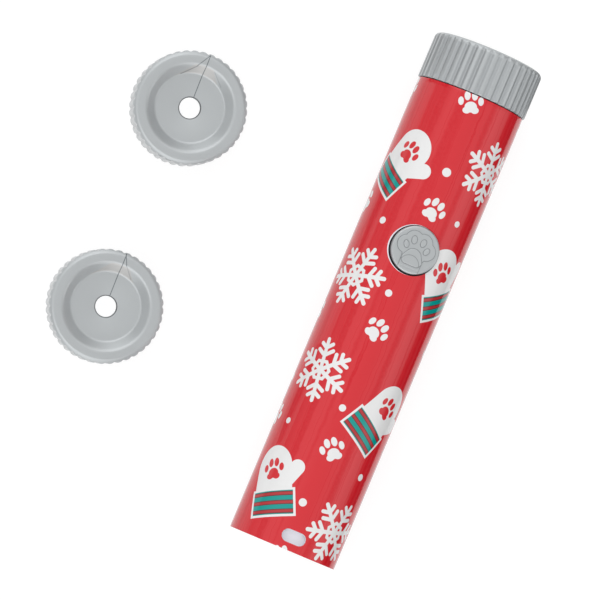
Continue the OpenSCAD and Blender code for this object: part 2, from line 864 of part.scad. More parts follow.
// One cell along +Z with its button end at the top
module cell() {
    can_len = cell_len - button_end_len;
    rotate_extrude() {
        square([cell_d / 2 - cell_rim_r, can_len]);
        translate([0, cell_rim_r]) square([cell_d / 2, can_len - 2 * cell_rim_r]);
        for (y = [cell_rim_r, can_len - cell_rim_r])
            translate([cell_d / 2 - cell_rim_r, y]) circle(r = cell_rim_r);
        square([button_end_d / 2, cell_len]);
    }
}

module battery_left() {
    color("orange") on_pointer() translate([-cell_x, 0, 0]) along(left_cell_s) cell();
}

module battery_right() {
    color("orange") on_pointer() translate([cell_x, right_cell_s + cell_len, 0]) rotate([90, 0, 0]) cell();
}

body_tube();
nose_collar();
nose_o_ring();
head_shell();
head_pattern_disc();
head_disc_ring();
spare_head_1_shell();
spare_head_1_pattern_disc();
spare_head_1_disc_ring();
spare_head_2_shell();
spare_head_2_pattern_disc();
spare_head_2_disc_ring();
button_cap();
switch_plunger();
button_spring();
switch_body();
circuit_board();
board_components();
chassis_lower();
chassis_upper();
chassis_screws();
laser_barrel();
laser_diode();
lens_spring();
collimator_lens();
lens_nut();
driver_board();
lead_red();
lead_black();
front_positive_contact();
front_negative_contact();
front_contact_spring();
battery_sled();
tail_plug();
tail_plug_screws();
battery_left();
battery_right();
tail_contact_plate();
tail_contact_spring();
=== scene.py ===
"""Looks of a cat laser pointer and its loose pattern heads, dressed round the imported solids.

Metres throughout. +Y is the way the beam leaves, +Z is up, and the tube lies along Y.
"""
import math

import bmesh
import bpy
from mathutils import Matrix, Vector


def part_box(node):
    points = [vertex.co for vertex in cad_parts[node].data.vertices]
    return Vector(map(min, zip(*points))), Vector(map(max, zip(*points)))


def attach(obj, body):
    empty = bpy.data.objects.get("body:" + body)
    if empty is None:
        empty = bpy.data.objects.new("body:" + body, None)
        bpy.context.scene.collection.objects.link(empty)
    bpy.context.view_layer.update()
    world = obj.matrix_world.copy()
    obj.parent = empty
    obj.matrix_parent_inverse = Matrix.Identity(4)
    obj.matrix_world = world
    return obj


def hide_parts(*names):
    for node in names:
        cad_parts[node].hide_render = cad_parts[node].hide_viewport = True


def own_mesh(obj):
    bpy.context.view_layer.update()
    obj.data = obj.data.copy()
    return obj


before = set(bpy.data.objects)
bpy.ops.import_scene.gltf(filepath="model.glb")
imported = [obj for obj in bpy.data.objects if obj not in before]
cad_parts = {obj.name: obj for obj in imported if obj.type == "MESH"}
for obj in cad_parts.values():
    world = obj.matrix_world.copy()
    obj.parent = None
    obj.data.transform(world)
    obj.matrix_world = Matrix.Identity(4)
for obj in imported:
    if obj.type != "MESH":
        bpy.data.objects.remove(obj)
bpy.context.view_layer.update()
MM = 0.001

# Camera
# A long lens a little over a metre above the table, to the left of the pointer and over its tail,
# rolled so that the tube runs up the picture to the right.
head_low, head_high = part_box("head_shell")
axis_x = (head_low.x + head_high.x) / 2
axis_z = (head_low.z + head_high.z) / 2
aim = Vector((axis_x - 17.74 * MM, -7.5 * MM, axis_z))
camera_from_aim = Vector((-120.3, -50.5, 1087.2)) * MM
view_width = 133.25 * MM
sensor_width = 36
tube_in_picture = math.radians(67.02)

picture_up = Vector((-math.cos(tube_in_picture), math.sin(tube_in_picture), 0))
towards = -camera_from_aim.normalized()
right = towards.cross(picture_up).normalized()
up = right.cross(towards)
camera_data = bpy.data.cameras.new("camera")
camera_data.sensor_width = sensor_width
camera_data.lens = sensor_width * camera_from_aim.length / view_width
camera_data.clip_start = 10 * MM
camera = bpy.data.objects.new("camera", camera_data)
facing = Matrix((right, up, -towards)).transposed().to_4x4()
camera.matrix_world = Matrix.Translation(aim + camera_from_aim) @ facing
bpy.context.scene.collection.objects.link(camera)
bpy.context.scene.camera = camera

# Table
# A white sheet under the pointer, lit from all round, that keeps a faint shadow. Seen directly
# or in a reflection, it glows enough to be white.
table_size = 6.0
table_white = 0.22
table_glow = 0.84
glow_through = 0.16
bounce_white = 0.5
sharp_angle = math.radians(38)


def add(tree, kind, values=(), **settings):
    """A new shader node. Values fill its inputs, by place or by name, with numbers or outputs."""
    made = tree.nodes.new(kind)
    for name, value in settings.items():
        setattr(made, name, value)
    for key, value in values.items() if isinstance(values, dict) else enumerate(values):
        if isinstance(value, bpy.types.NodeSocket):
            tree.links.new(value, made.inputs[key])
        elif value is not None:
            made.inputs[key].default_value = value
    return made


def maths(tree, operation, *values, clamp=False):
    return add(tree, "ShaderNodeMath", values, operation=operation, use_clamp=clamp).outputs[0]


def empty_material(name):
    material = bpy.data.materials.new(name)
    material.use_nodes = True
    material.node_tree.nodes.clear()
    return material, material.node_tree


def grey(level):
    return (level, level, level, 1)


material, tree = empty_material("white_sheet")
path = add(tree, "ShaderNodeLightPath").outputs
seen = maths(tree, "MAXIMUM", path["Is Camera Ray"], path["Is Glossy Ray"])
seen = maths(tree, "MAXIMUM", seen, path["Is Transmission Ray"])
lit = add(tree, "ShaderNodeBsdfDiffuse", {"Color": grey(table_white)}).outputs[0]
strength = maths(tree, "MULTIPLY_ADD", path["Is Transmission Ray"], glow_through, table_glow)
glow = add(tree, "ShaderNodeEmission", {"Color": grey(1), "Strength": strength}).outputs[0]
shown = add(tree, "ShaderNodeAddShader", (lit, glow)).outputs[0]
bounce = add(tree, "ShaderNodeBsdfDiffuse", {"Color": grey(bounce_white)}).outputs[0]
mixed = add(tree, "ShaderNodeMixShader", (seen, bounce, shown)).outputs[0]
add(tree, "ShaderNodeOutputMaterial", {"Surface": mixed})


def new_object(name, bm, material):
    """Turns a finished bmesh into an object at the origin, smooth but for its sharp edges."""
    mesh = bpy.data.meshes.new(name)
    bm.to_mesh(mesh)
    bm.free()
    for face in mesh.polygons:
        face.use_smooth = True
    mesh.set_sharp_from_angle(angle=sharp_angle)
    mesh.materials.append(material)
    made = bpy.data.objects.new(name, mesh)
    bpy.context.scene.collection.objects.link(made)
    return made


bm = bmesh.new()
bmesh.ops.create_grid(bm, x_segments=2, y_segments=2, size=table_size / 2)
new_object("table", bm, material)

# Light
# A white tent over the pointer. A strip across its middle, which the tube mirrors, has a panel low
# on the right. Before and behind it the tent is bright overhead, a little to the left and askew of
# the tube, and dimmer towards its ends and sides.
tent_strip = [
    (-98, 0.47), (-87, 0.52), (-76, 0.69), (-66, 0.86), (-57, 0.99), (-40, 1.10), (-23, 0.98),
    (-6, 0.78), (19, 0.74), (27, 0.92), (47, 0.92), (56, 1.42), (66, 1.5), (74, 1.2), (85, 0.95),
    (90, 0.3),
]
tent_roof = [(-70, 0.12), (-50, 0.36), (-30, 1.58), (-10, 2.28), (10, 1.33), (30, 0.0)]
tent_most = 2.5
strip_level = 1.12
strip_edge = (0.15, 0.35)
side_level = 0.48
end_share = 0.72
end_turn = 0.30

world = bpy.data.worlds.new("tent")
bpy.context.scene.world = world
world.use_nodes = True
tree = world.node_tree
tree.nodes.clear()


def times(tree, value, factor, clamp=False):
    return maths(tree, "MULTIPLY", value, factor, clamp=clamp)


def split(tree, place):
    return add(tree, "ShaderNodeSeparateXYZ", (place,)).outputs


def remap(tree, value, *ranges):
    """A value carried from one range to another, and held to its ends."""
    return add(tree, "ShaderNodeMapRange", (value, *ranges)).outputs[0]


def tent_level(lean, levels, scale):
    """The tent's level at each lean from overhead, in degrees to the right."""
    share = maths(tree, "MULTIPLY_ADD", lean, 1 / (2 * math.pi), 0.5)
    ramp = add(tree, "ShaderNodeValToRGB", (share,))
    stops = ramp.color_ramp.elements
    for index, (degrees, level) in enumerate(levels):
        place = 0.5 + degrees / 360
        stop = stops[index] if index < 2 else stops.new(place)
        stop.position = place
        stop.color = grey(level / tent_most)
    return times(tree, ramp.outputs["Color"], tent_most * scale)


way = split(tree, add(tree, "ShaderNodeTexCoord").outputs["Generated"])
from_middle = maths(tree, "ABSOLUTE", way["Y"])
strip = tent_level(maths(tree, "ARCTAN2", way["X"], way["Z"]), tent_strip, strip_level)
fade = remap(tree, from_middle, strip_edge[1], 1.0, 1.0, end_share)
askew = maths(tree, "MULTIPLY_ADD", way["Y"], end_turn, way["X"])
roof = tent_level(maths(tree, "ARCSINE", askew), tent_roof, 1)
roof = maths(tree, "MULTIPLY_ADD", roof, fade, side_level)
aside = remap(tree, from_middle, *strip_edge, 0.0, 1.0)
level = add(tree, "ShaderNodeMix", (aside, None, strip, roof)).outputs[0]
lamp = add(tree, "ShaderNodeBackground", {"Strength": level}).outputs[0]
add(tree, "ShaderNodeOutputWorld", {"Surface": lamp})

# Cards
# A black card laid on the table to the right of the tube draws the dark line along its right side.
# Two grey ones beside the fitted head shade its ribs' sides, and a white one stands between the
# loose heads and the tube. They show only in reflections, from one side.
card_lift = 0.2 * MM
# Each card: its grey, and in millimetres its sides from the tube's axis, its ends and its rise
cards = {
    "dark_card": (0.02, (40, 2000), (-250, 250), 0),
    "standing_flag": (0.48, (-45.5, -45), (75, 53), 42),
    "laid_flag": (0.2, (16, 39), (53, 75), 0),
    "white_flag": (0.9, (-17.5, -17), (-58, 46), 27),
}
for name, (level, sides, ends, rise) in cards.items():
    material, tree = empty_material(name)
    front = add(tree, "ShaderNodeBsdfDiffuse", {"Color": grey(level)}).outputs[0]
    behind = add(tree, "ShaderNodeNewGeometry").outputs["Backfacing"]
    clear = add(tree, "ShaderNodeBsdfTransparent").outputs[0]
    mixed = add(tree, "ShaderNodeMixShader", (behind, front, clear)).outputs[0]
    add(tree, "ShaderNodeOutputMaterial", {"Surface": mixed})
    bm = bmesh.new()
    bmesh.ops.create_grid(bm, x_segments=1, y_segments=1, size=0.5)
    for v in bm.verts:
        right_side, far_end = v.co.x > 0, v.co.y > 0
        v.co = Vector((sides[right_side], ends[far_end], rise * right_side)) * MM
    bmesh.ops.translate(bm, vec=(axis_x, 0, card_lift), verts=bm.verts)
    card = new_object(name, bm, material)
    for ray in ("camera", "diffuse", "shadow", "transmission"):
        setattr(card, "visible_" + ray, False)

# Printed tube
# A white moulded tube with a glossy red printed film round it, drilled for the button and slotted
# for a strap. It is one skin rolled round the axis, doubled by an inner wall.
tube_low, tube_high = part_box("body_tube")
tube_r = (tube_high.x - tube_low.x) / 2
tube_wall = 1.0 * MM
tail_y = tube_low.y
tube_len = tube_high.y - tube_low.y
cells_round = 160
cells_along = 111
rim_edge = 0.14 * MM
hole_margin = 0.3 * MM
hole_rings = 7
button_low, button_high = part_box("button_cap")
button_y = (button_low.y + button_high.y) / 2
button_hole_r = 5.65 * MM
slot_y = tail_y + 3.15 * MM
slot_len = 5.6 * MM
slot_w = 2.9 * MM
merge_reach = 0.001 * MM
rim_angle = math.radians(50)
# Each opening: its centre along the tube, half its straight run across, and the radius of its ends
openings = [(button_y, 0, button_hole_r), (slot_y, (slot_len - slot_w) / 2, slot_w / 2)]


def verts_in(geom):
    return [g for g in geom if isinstance(g, bmesh.types.BMVert)]


def tube_skin(radius):
    """One rolled skin of the tube, with its openings drilled straight down."""
    bm = bmesh.new()
    bmesh.ops.create_grid(bm, x_segments=cells_round, y_segments=cells_along, size=0.5)
    for v in bm.verts:
        v.co = (v.co.x * 2 * math.pi, tail_y + (v.co.y + 0.5) * tube_len, 0)
    turn_cell = 2 * math.pi / cells_round
    along_cell = tube_len / cells_along
    for centre_y, half_run, end_r in openings:
        reach = end_r + hole_margin
        reach_turn = math.ceil(math.asin((half_run + reach) / radius) / turn_cell) * turn_cell
        low_y = tail_y + math.floor((centre_y - reach - tail_y) / along_cell) * along_cell
        high_y = tail_y + math.ceil((centre_y + reach - tail_y) / along_cell) * along_cell
        inside = set()
        for face in bm.faces:
            middle = face.calc_center_median()
            if abs(middle.x) < reach_turn and low_y < middle.y < high_y:
                inside.add(face)
        border = [e for e in bm.edges if sum(f in inside for f in e.link_faces) == 1]
        bmesh.ops.delete(bm, geom=list(inside), context="FACES")
        rim = set(verts_in(bmesh.ops.extrude_edge_only(bm, edges=border)["geom"]))
        spokes = [e for v in rim for e in v.link_edges if e.other_vert(v) not in rim]
        for v in rim:
            x = radius * math.sin(v.co.x)
            core = max(-half_run, min(half_run, x))
            out = Vector((x - core, v.co.y - centre_y)).normalized() * end_r
            v.co = (math.asin((core + out.x) / radius), centre_y + out.y, 0)
        bmesh.ops.subdivide_edges(bm, edges=spokes, cuts=hole_rings, use_grid_fill=True)
    for v in bm.verts:
        turn = v.co.x
        v.co = (axis_x + radius * math.sin(turn), v.co.y, axis_z + radius * math.cos(turn))
    return bm


def absorb(bm, other):
    """Moves the faces of another bmesh into this one."""
    carrier = bpy.data.meshes.new("carrier")
    other.to_mesh(carrier)
    other.free()
    bm.from_mesh(carrier)
    bpy.data.meshes.remove(carrier)


def ease(bm, edges, width):
    """Rounds some edges of a mesh."""
    bmesh.ops.bevel(
        bm, geom=edges, offset=width, offset_type="OFFSET", affect="EDGES", segments=3, profile=0.5,
        material=-1, clamp_overlap=True,
    )


bm = tube_skin(tube_r)
absorb(bm, tube_skin(tube_r - tube_wall))
bmesh.ops.remove_doubles(bm, verts=bm.verts, dist=merge_reach)
# Each rim: its middle along the tube and its reach from there
rim_places = {
    "tail": (tail_y, 0),
    "front": (tube_high.y, 0),
    "button": (button_y, button_hole_r),
    "slot": (slot_y, slot_w / 2),
}
rims = {name: [] for name in rim_places}
for edge in bm.edges:
    if edge.is_boundary:
        y = (edge.verts[0].co.y + edge.verts[1].co.y) / 2
        gaps = {name: max(0, abs(y - at) - reach) for name, (at, reach) in rim_places.items()}
        rims[min(gaps, key=gaps.get)].append(edge)
# Each end is closed by drawing the outer rim in to the inner one, and each opening by a bridge
axis = Vector((axis_x, 0, axis_z))
outer_ends = []
for edge in rims["tail"] + rims["front"]:
    from_axis = edge.verts[0].co - axis
    if math.hypot(from_axis.x, from_axis.z) > tube_r - tube_wall / 2:
        outer_ends.append(edge)
drawn_in = bmesh.ops.extrude_edge_only(bm, edges=outer_ends)["geom"]
inner_share = 1 - tube_wall / tube_r
bmesh.ops.scale(
    bm, vec=(inner_share, 1, inner_share), space=Matrix.Translation(-axis),
    verts=verts_in(drawn_in),
)
bmesh.ops.remove_doubles(bm, verts=bm.verts, dist=merge_reach)
for name in ("button", "slot"):
    bmesh.ops.bridge_loops(bm, edges=rims[name])
bmesh.ops.recalc_face_normals(bm, faces=bm.faces)
ease(bm, [e for e in bm.edges if e.calc_face_angle(0) > rim_angle], rim_edge)

# The print: white snowflakes, paw prints, dots and mittens tossed over red, drawn in millimetres
# round and along the tube. The film stops short of the holes, where the white tube shows.
print_red = (0.638, 0.024, 0.033, 1)
print_white = (0.80, 0.80, 0.80, 1)
print_green = (0.0, 0.306, 0.275, 1)
stripe_red = (0.45, 0.030, 0.035, 1)
stripe_edge = (0.10, 0.016, 0.020, 1)
bare_white = (0.82, 0.80, 0.86, 1)
repeat_round = math.pi * tube_r / MM
repeat_along = tube_len / MM / 2
row_shift = repeat_round / 2
ink_blur = 0.06


def vectors(tree, operation, *values):
    made = add(tree, "ShaderNodeVectorMath", values, operation=operation)
    return made.outputs["Value" if operation == "LENGTH" else "Vector"]


def joined(tree, x, y, z=0.0):
    return add(tree, "ShaderNodeCombineXYZ", (x, y, z)).outputs[0]


def spun(tree, place, angle):
    """A place turned about the middle of its plane."""
    values = {"Vector": place, "Angle": angle}
    return add(tree, "ShaderNodeVectorRotate", values, rotation_type="Z_AXIS").outputs[0]


def new_group(name, inputs, outputs):
    """An empty shader group, with its input and output sockets."""
    tree = bpy.data.node_groups.new(name, "ShaderNodeTree")
    for side, sockets in (("INPUT", inputs), ("OUTPUT", outputs)):
        for label, kind in sockets.items():
            tree.interface.new_socket(label, in_out=side, socket_type="NodeSocket" + kind)
    return tree, tree.nodes.new("NodeGroupInput").outputs, tree.nodes.new("NodeGroupOutput").inputs


def use_group(tree, group, **values):
    return add(tree, "ShaderNodeGroup", values, node_tree=group)


def inked(tree, distance, reach=None):
    """One within reach of an outline and nought beyond, from the distance to it in millimetres."""
    if reach is not None:
        distance = maths(tree, "SUBTRACT", distance, reach)
    return maths(tree, "MULTIPLY_ADD", distance, -1 / ink_blur, 0.5, clamp=True)


def stroke(tree, place, start, degrees, length, half_width):
    """Distance to a straight stroke with round ends."""
    moved = vectors(tree, "SUBTRACT", place, (*start, 0))
    turned = spun(tree, moved, -math.radians(degrees))
    nearest = vectors(tree, "MINIMUM", vectors(tree, "MAXIMUM", turned, (0, 0, 0)), (length, 0, 0))
    away = vectors(tree, "LENGTH", vectors(tree, "SUBTRACT", turned, nearest))
    return maths(tree, "SUBTRACT", away, half_width)


def oval(tree, place, centre, radii):
    """About the distance to an upright oval."""
    unit = vectors(tree, "DIVIDE", vectors(tree, "SUBTRACT", place, (*centre, 0)), (*radii, 1))
    away = maths(tree, "SUBTRACT", vectors(tree, "LENGTH", unit), 1)
    return times(tree, away, min(radii))


def union(tree, *distances):
    nearest = distances[0]
    for distance in distances[1:]:
        nearest = maths(tree, "MINIMUM", nearest, distance)
    return nearest


# Where a motif lies: the print repeats twice round the tube, each row shifted by half a repeat
place_group, given, result = new_group(
    "print_place", {"Place": "Vector", "Centre": "Vector", "Turn": "Float"}, {"Local": "Vector"}
)
tree = place_group
offset = split(tree, vectors(tree, "SUBTRACT", given["Place"], given["Centre"]))
along = maths(tree, "WRAP", offset["Y"], repeat_along / 2, -repeat_along / 2)
row = maths(tree, "DIVIDE", maths(tree, "SUBTRACT", offset["Y"], along), repeat_along)
across = maths(tree, "MULTIPLY_ADD", row, -row_shift, offset["X"])
across = maths(tree, "WRAP", across, repeat_round / 2, -repeat_round / 2)
flat = joined(tree, across, along)
tree.links.new(spun(tree, flat, given["Turn"]), result["Local"])

# Snowflake: one arm folded round six times, with two pairs of twigs and a hexagon at its heart.
# Each stroke: its start, angle, length and half width
flake_strokes = [((0, 0), 0, 6.4, 0.42), ((3.0, 0), 57, 2.1, 0.40), ((4.6, 0), 57, 1.6, 0.40)]
heart_r = 1.75
heart_half_width = 0.34
fold = math.pi / 6
flake_group, given, result = new_group("print_snowflake", {"Local": "Vector"}, {"Mask": "Float"})
tree = flake_group
flat = split(tree, given["Local"])
reach = vectors(tree, "LENGTH", given["Local"])
angle = maths(tree, "ARCTAN2", flat["Y"], flat["X"])
angle = maths(tree, "ABSOLUTE", maths(tree, "WRAP", angle, fold, -fold))
arm_x = times(tree, reach, maths(tree, "COSINE", angle))
arm_y = times(tree, reach, maths(tree, "SINE", angle))
arm = joined(tree, arm_x, arm_y)
heart = maths(tree, "ABSOLUTE", maths(tree, "SUBTRACT", arm_x, heart_r))
heart = maths(tree, "SUBTRACT", heart, heart_half_width)
flake = union(tree, *[stroke(tree, arm, *sizes) for sizes in flake_strokes], heart)
tree.links.new(inked(tree, flake), result["Mask"])

# Paw print: a pad of three lobes and four toes, the same on both sides.
# Each oval: its centre and its two radii
paw_ovals = [
    ((0, -0.55), (1.15, 1.0)),
    ((0.75, -1.15), (0.75, 0.62)),
    ((1.85, 0.55), (0.52, 0.78)),
    ((0.68, 1.55), (0.56, 0.86)),
]
paw_group, given, result = new_group("print_paw", {"Local": "Vector"}, {"Mask": "Float"})
tree = paw_group
flat = split(tree, given["Local"])
half = joined(tree, maths(tree, "ABSOLUTE", flat["X"]), flat["Y"])
paw = union(tree, *[oval(tree, half, *sizes) for sizes in paw_ovals])
tree.links.new(inked(tree, paw), result["Mask"])

# Mitten: a white hand with a small red paw on its back, and a knitted green cuff with dark-edged
# stripes. Hand and thumb are strokes, and the cuff has half a width and half a height
hand_stroke = ((0, -4), 90, 6.4, 4.1)
hand_end = -3.0
thumb_stroke = ((2.4, -1.2), 46, 4.0, 1.5)
cuff_drop = 4.9
cuff_sizes = (4.25, 2.3)
cuff_border = (4.7, 2.75)
stripe_half_pitch = 0.85
stripe_half_width = 0.27
stripe_edge_half_width = 0.42
badge_rise = 1.5
mitten_group, given, result = new_group(
    "print_mitten", {"Local": "Vector"}, {"Mask": "Float", "Color": "Color"}
)
tree = mitten_group
local = given["Local"]
flat = split(tree, local)
cuff_y = maths(tree, "ADD", flat["Y"], cuff_drop)


def cuff_box(tree, half_width, half_height):
    """Distance to the cuff, which is square at its corners."""
    side = maths(tree, "SUBTRACT", maths(tree, "ABSOLUTE", flat["X"]), half_width)
    top = maths(tree, "SUBTRACT", maths(tree, "ABSOLUTE", cuff_y), half_height)
    return maths(tree, "MAXIMUM", side, top)


below_end = maths(tree, "SUBTRACT", hand_end, flat["Y"])
hand = maths(tree, "MAXIMUM", stroke(tree, local, *hand_stroke), below_end)
thumb = stroke(tree, local, *thumb_stroke)
outline = union(tree, hand, thumb, cuff_box(tree, *cuff_border))
cuff = inked(tree, cuff_box(tree, *cuff_sizes))
stripe = maths(tree, "ABSOLUTE", maths(tree, "WRAP", cuff_y, stripe_half_pitch, -stripe_half_pitch))
dark = times(tree, cuff, inked(tree, stripe, stripe_edge_half_width))
light = times(tree, cuff, inked(tree, stripe, stripe_half_width))
on_back = vectors(tree, "SUBTRACT", local, (0, badge_rise, 0))
badge = use_group(tree, paw_group, Local=on_back).outputs["Mask"]


def over(tree, amount, below, above):
    """One colour laid over another."""
    values = {0: amount, 6: below, 7: above}
    return add(tree, "ShaderNodeMix", values, data_type="RGBA").outputs[2]


colour = over(tree, badge, print_white, print_red)
colour = over(tree, cuff, colour, print_green)
colour = over(tree, dark, colour, stripe_edge)
colour = over(tree, light, colour, stripe_red)
tree.links.new(colour, result["Color"])
tree.links.new(inked(tree, outline), result["Mask"])

# The tossed layout: each motif's place in the repeat, in millimetres round and along, its turn and
# its size, and each dot's place and radius
snowflakes = [(9.0, 7.5, 12, 1.1), (-9.5, 39.5, -22, 1.1)]
mittens = [(-10.0, 13.5, 24, 1.15), (8.5, 35.5, -30, 1.15)]
paws = [(0.5, 24.0, 38, 1.2), (20.0, 27.0, -18, 1.2), (-1.0, 52.0, -32, 1.2), (18.6, 52.0, 20, 1.2)]
dots = [
    (-1.2, 11.0, 0.9), (18.0, 6.5, 0.8), (-1.2, 33.5, 0.8),
    (19.5, 36.0, 1.0), (-12.5, 26.5, 0.7), (10.0, 21.0, 0.8),
]


def own_spot(tree, location=(0, 0, 0), rotation=(0, 0, 0)):
    """A piece's own coordinates in millimetres, moved and turned to where its pattern starts."""
    spot = add(tree, "ShaderNodeTexCoord").outputs["Object"]
    values = {"Vector": spot, "Location": location, "Rotation": rotation, "Scale": (1 / MM,) * 3}
    return add(tree, "ShaderNodeMapping", values).outputs[0]


tube_material, tree = empty_material("printed_tube")
spot = own_spot(tree, (-axis_x / MM, -tail_y / MM, -axis_z / MM))
part = split(tree, spot)
turn = maths(tree, "ARCTAN2", part["X"], part["Z"])
arc = times(tree, turn, tube_r / MM)
unrolled = joined(tree, arc, part["Y"])


def scaled(tree, place, scale):
    values = {0: place, "Scale": scale}
    return add(tree, "ShaderNodeVectorMath", values, operation="SCALE").outputs[0]


def placed(round_mm, along_mm, degrees=0, size=1):
    """The motif's own coordinates, all over the tube."""
    centre = (round_mm, along_mm, 0)
    turn = -math.radians(degrees)
    local = use_group(tree, place_group, Place=unrolled, Centre=centre, Turn=turn).outputs[0]
    return scaled(tree, local, 1 / size)


white = 0.0
for group, motifs in ((flake_group, snowflakes), (paw_group, paws)):
    for motif in motifs:
        mask = use_group(tree, group, Local=placed(*motif)).outputs["Mask"]
        white = maths(tree, "MAXIMUM", white, mask)
for round_mm, along_mm, dot_r in dots:
    away = vectors(tree, "LENGTH", placed(round_mm, along_mm))
    white = maths(tree, "MAXIMUM", white, inked(tree, away, dot_r))

# The red film is darkened in lengthwise streaks, painted shade for the reflection it loses where
# it isn't quite tight on the tube: broad slack ones and narrow pinched ones, which waver a little
# and are broken up by specks
streak_shade_red = (0.585, 0.000, 0.009, 1)
streak_squeeze = 0.006
waver_width = 0.7
slack_range = (0.52, 0.62)
slack_most = 0.75
pinch_middle = 0.58
pinch_reach = 0.025
pinch_most = 0.9
speck_range = (0.35, 0.6)
speck_least = 0.7


def noise(tree, place, scale, detail):
    values = {"Vector": place, "Scale": scale, "Detail": detail}
    return add(tree, "ShaderNodeTexNoise", values).outputs[0]


waver = noise(tree, spot, scale=0.45, detail=1.0)
wavy = maths(tree, "MULTIPLY_ADD", waver, waver_width, arc)
long_way = joined(tree, wavy, times(tree, part["Y"], streak_squeeze))
slack = noise(tree, long_way, scale=0.34, detail=1.0)
slack = remap(tree, slack, *slack_range, 0.0, slack_most)
pinch = noise(tree, long_way, scale=0.6, detail=0.0)
pinch = maths(tree, "ABSOLUTE", maths(tree, "SUBTRACT", pinch, pinch_middle))
pinch = remap(tree, pinch, 0.0, pinch_reach, pinch_most, 0.0)
speck = noise(tree, spot, scale=1.6, detail=2.0)
speck = remap(tree, speck, *speck_range, speck_least, 1.0)
# Painted shade: the streaks darken the film's red
streak_shade = times(tree, maths(tree, "MAXIMUM", slack, pinch), speck)
colour = over(tree, streak_shade, print_red, streak_shade_red)
colour = over(tree, white, colour, print_white)
for motif in mittens:
    mitten = use_group(tree, mitten_group, Local=placed(*motif)).outputs
    colour = over(tree, mitten["Mask"], colour, mitten["Color"])

# The film is cut a little to the left of the button's hole, so a thin white crescent shows there,
# and the tube is bare inside
film_slip = 0.24
film_short = 0.04
film_reach = (tube_r - 0.6 * rim_edge) / MM
beside = vectors(tree, "SUBTRACT", spot, (-film_slip, (button_y - tail_y) / MM, 0))
away = vectors(tree, "LENGTH", vectors(tree, "MULTIPLY", beside, (1, 1, 0)))
bare = inked(tree, away, button_hole_r / MM + film_short)
bare = times(tree, bare, maths(tree, "GREATER_THAN", part["Z"], 0.0))
colour = over(tree, bare, colour, bare_white)
radius = vectors(tree, "LENGTH", joined(tree, part["X"], 0.0, part["Z"]))
inner = maths(tree, "LESS_THAN", radius, film_reach)
colour = over(tree, inner, colour, bare_white)

# The film's faint lengthwise ripple, and its gloss
ripple_strength = 0.12
ripple_depth = 0.05 * MM
film_rough = 0.07
film_rough_spread = 0.06
bare_rough = 0.45


def bumped(tree, height, strength, depth):
    values = {"Height": height, "Strength": strength, "Distance": depth}
    return add(tree, "ShaderNodeBump", values).outputs[0]


def surfaced(tree, values):
    """Ends a material with one Principled shader, with these values on its sockets."""
    shader = add(tree, "ShaderNodeBsdfPrincipled", values).outputs[0]
    add(tree, "ShaderNodeOutputMaterial", {"Surface": shader})


ripple = noise(tree, long_way, scale=0.55, detail=3.0)
bump = bumped(tree, ripple, ripple_strength, ripple_depth)
gloss = noise(tree, spot, scale=0.35, detail=4.0)
rough = maths(tree, "MULTIPLY_ADD", gloss, film_rough_spread, film_rough)
rough = maths(tree, "MAXIMUM", rough, times(tree, inner, bare_rough))
surfaced(tree, {"Base Color": colour, "Roughness": rough, "Normal": bump})


def finish_piece(piece, body, slot, *nodes):
    """Rides a finished piece on its body, in the place of the solids that it stands for."""
    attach(piece, body)
    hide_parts(*nodes)


finish_piece(new_object("printed_tube", bm, tube_material), "pointer", "tube_print", "body_tube")

# Pattern heads
# Cups of silver-flecked plastic with grip ribs, a dished face and a beam hole. The fitted head is
# pushed on to the pointer's nose, and two more like it lie loose, face up.
head_r = (head_high.x - head_low.x) / 2
head_len = head_high.y - head_low.y
rib_count = 40
steps_per_rib = 16
rib_depth = 0.3 * MM
rib_pitch = 2 * math.pi * head_r / rib_count
groove_half = 0.75 * MM
crest_fall = 0.04 * MM
back_edge = 0.25 * MM
front_edge = 1.2 * MM
rim_width = 3.05 * MM
dish_slope = 1.9 * MM
dish_depth = 1.9 * MM
dish_floor = 1.2 * MM
rim_blend = 0.55 * MM
dish_blend = 0.35 * MM
aperture_r = 2.35 * MM
aperture_edge = 0.15 * MM
socket_r = 10.75 * MM
socket_step = 1.3 * MM
socket_len = 5.7 * MM
boss_inner_r = 4.55 * MM
boss_wall = 1.2 * MM
wall_steps = 10
fine_merge = 0.0005 * MM


def arc_points(centre, radius, start, end, steps):
    """Points on a round stretch of a profile, with its angles in degrees."""
    turns = [math.radians(start + (end - start) * i / steps) for i in range(steps + 1)]
    return [(centre[0] + radius * math.cos(a), centre[1] + radius * math.sin(a)) for a in turns]


def rounded(before, corner, after, radius, steps):
    """A corner of a profile rounded by a curve that starts and ends a radius away from it."""
    before, corner, after = Vector(before), Vector(corner), Vector(after)
    start = corner + (before - corner).normalized() * radius
    end = corner + (after - corner).normalized() * radius
    shares = [i / steps for i in range(steps + 1)]
    return [tuple((1 - t) ** 2 * start + 2 * t * (1 - t) * corner + t * t * end) for t in shares]


def lathe(profile, steps):
    """Spins a closed profile of radius and height points round the Z axis."""
    bm = bmesh.new()
    verts = [bm.verts.new((r, 0, z)) for r, z in profile]
    edges = [bm.edges.new((verts[i - 1], verts[i])) for i in range(len(verts))]
    bmesh.ops.spin(
        bm, geom=verts + edges, axis=(0, 0, 1), cent=(0, 0, 0), dvec=(0, 0, 0), angle=2 * math.pi,
        steps=steps, use_merge=True, use_normal_flip=False, use_duplicate=False,
    )
    bmesh.ops.remove_doubles(bm, verts=bm.verts, dist=fine_merge)
    bmesh.ops.recalc_face_normals(bm, faces=bm.faces)
    return bm


